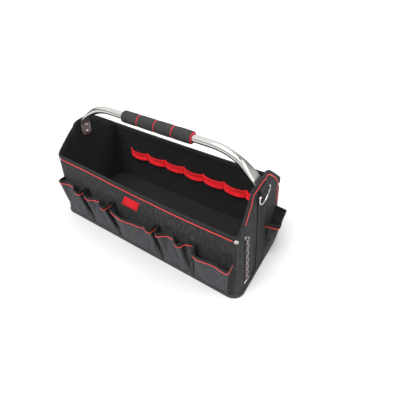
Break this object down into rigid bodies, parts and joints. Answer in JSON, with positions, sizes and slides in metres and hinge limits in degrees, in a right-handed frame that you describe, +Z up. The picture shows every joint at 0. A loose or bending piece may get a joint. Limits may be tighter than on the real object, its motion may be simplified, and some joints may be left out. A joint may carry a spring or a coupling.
{
  "type": "open tool bag",
  "caption": "Open-topped canvas tool bag with a bent steel tube handle and foam grip, pleated outer pockets, inner elastic loops, end rings and a hanging tape chain.",
  "frame": {"origin": "middle of the base's resting face", "axes": "+X runs along the bag to the end with the chain, -Y faces the pocket side, +Z is up"},
  "size_m": [0.536, 0.2359, 0.2817],
  "materials": {
    "canvas": "charcoal woven polyester canvas, matt",
    "inner_canvas": "near-black woven polyester, matt",
    "pocket_cloth": "grey woven polyester, slight sheen",
    "binding": "black woven edge binding",
    "webbing": "brown-black ribbed webbing",
    "red_elastic": "red woven elastic",
    "label": "bare red woven patch",
    "foam": "dark grey closed-cell foam",
    "steel": "polished steel tube",
    "nickel": "nickel-plated steel"
  },
  "bodies": {
    "bag": {"front_wall": "canvas", "end_wall_right": "canvas", "end_wall_left": "canvas", "end_pocket": "canvas", "back_wall": "inner_canvas", "front_pocket_1": "pocket_cloth", "front_pocket_2": "pocket_cloth", "front_pocket_3": "pocket_cloth", "front_pocket_4": "pocket_cloth", "front_pocket_5": "pocket_cloth", "base_panel": "binding", "base_binding": "binding", "end_webbing_right": "webbing", "end_webbing_left": "webbing", "ring_tab_right": "webbing", "ring_tab_left": "webbing", "tool_loop_band": "red_elastic", "grip_ring_1": "red_elastic", "grip_ring_2": "red_elastic", "grip_ring_3": "red_elastic", "grip_ring_end": "red_elastic", "label_patch": "label", "foam_grip": "foam", "handle_tube": "steel", "tape_chain": "nickel", "rim_rivet_front_right": "nickel", "rim_rivet_front_left": "nickel", "rim_rivet_back_right": "nickel", "rim_rivet_back_left": "nickel", "plate_rivet_right_upper": "nickel", "plate_rivet_right_lower": "nickel", "plate_rivet_left_upper": "nickel", "plate_rivet_left_lower": "nickel"},
    "ring_right": {"d_ring_right": "nickel"},
    "ring_left": {"d_ring_left": "nickel"}
  },
  "joints": [
    {"name": "ring_right_swing", "type": "hinge", "parent": "bag", "child": "ring_right", "pos_m": [0.24414, -0.007, 0.208], "axis": [0, -1, 0], "range_deg": [0, 150]},
    {"name": "ring_left_swing", "type": "hinge", "parent": "bag", "child": "ring_left", "pos_m": [-0.2554, -0.007, 0.208], "axis": [0, 1, 0], "range_deg": [0, 150]}
  ]
}
